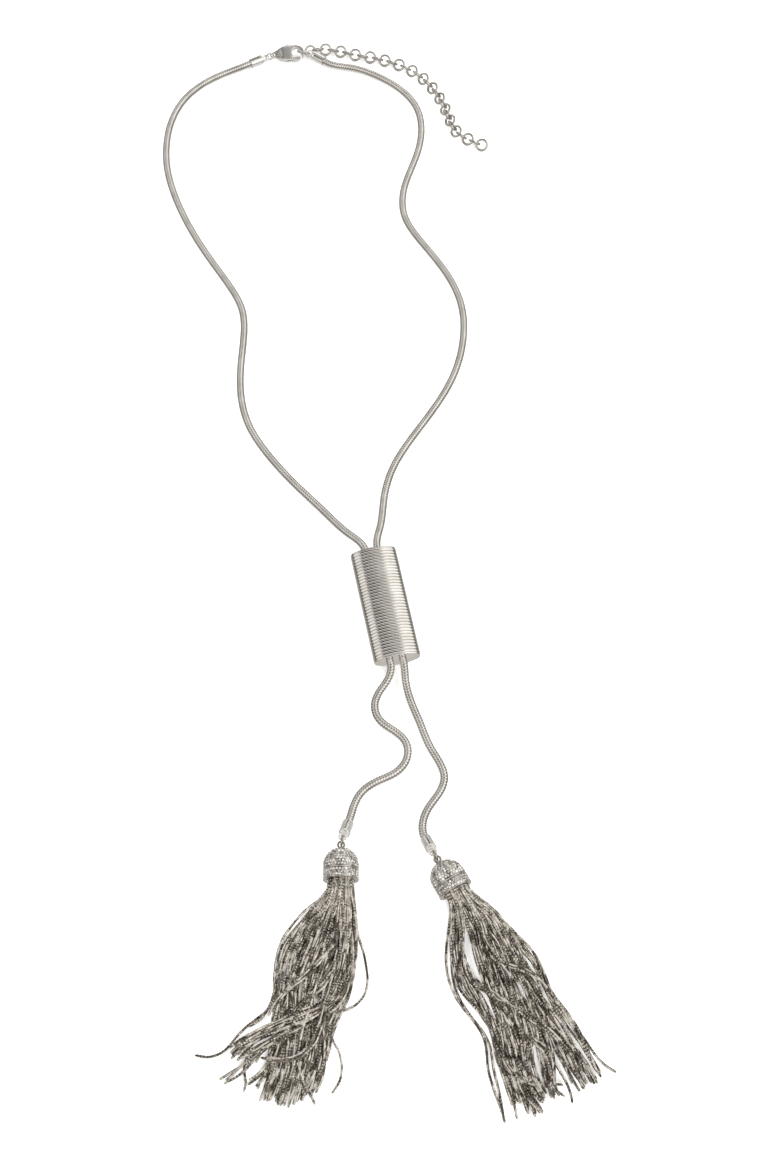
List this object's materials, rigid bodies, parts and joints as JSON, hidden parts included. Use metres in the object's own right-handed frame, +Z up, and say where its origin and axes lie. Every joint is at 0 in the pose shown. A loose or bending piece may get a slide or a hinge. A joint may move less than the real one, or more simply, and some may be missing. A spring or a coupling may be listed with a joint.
{
  "type": "tassel necklace",
  "caption": "Lariat necklace with a sliding ribbed oval tube and two capped tassels, lying flat with its lobster clasp closed.",
  "frame": {"origin": "Centre of the bounding box in X and Y, on the surface that the necklace lies on.", "axes": "X to the right and Y towards the clasp in the plane of the surface, Z up from it."},
  "size_m": [0.1384, 0.3861, 0.0102],
  "materials": {
    "plated_metal": "bright silver-tone plating",
    "pave": "silver-tone cap set all over with small pale faceted stones",
    "tassel_chain": "dark silver fine faceted chain"
  },
  "bodies": {
    "necklace": {"chain_left": "plated_metal", "chain_right": "plated_metal", "slider": "plated_metal", "clasp_body": "plated_metal", "end_cap_clasp": "plated_metal", "end_cap_ring": "plated_metal", "end_cap_tassel_left": "plated_metal", "end_cap_tassel_right": "plated_metal", "ring_clasp": "plated_metal", "ring_hooked": "plated_metal", "ring_tassel_left": "plated_metal", "ring_tassel_right": "plated_metal", "extender_chain": "plated_metal", "tassel_cap_left": "pave", "tassel_cap_right": "pave", "tassel_fringe_left": "tassel_chain", "tassel_fringe_right": "tassel_chain"},
    "lever": {"clasp_lever": "plated_metal"}
  },
  "joints": [
    {"name": "lever_hinge", "type": "hinge", "parent": "necklace", "child": "lever", "pos_m": [-0.02702, 0.18766, 0.00179], "axis": [0.0226, -0.2578, 0.9659], "range_deg": [0, 25], "stiffness_Nm_per_rad": 0.0002, "springref_deg": -20.05}
  ]
}
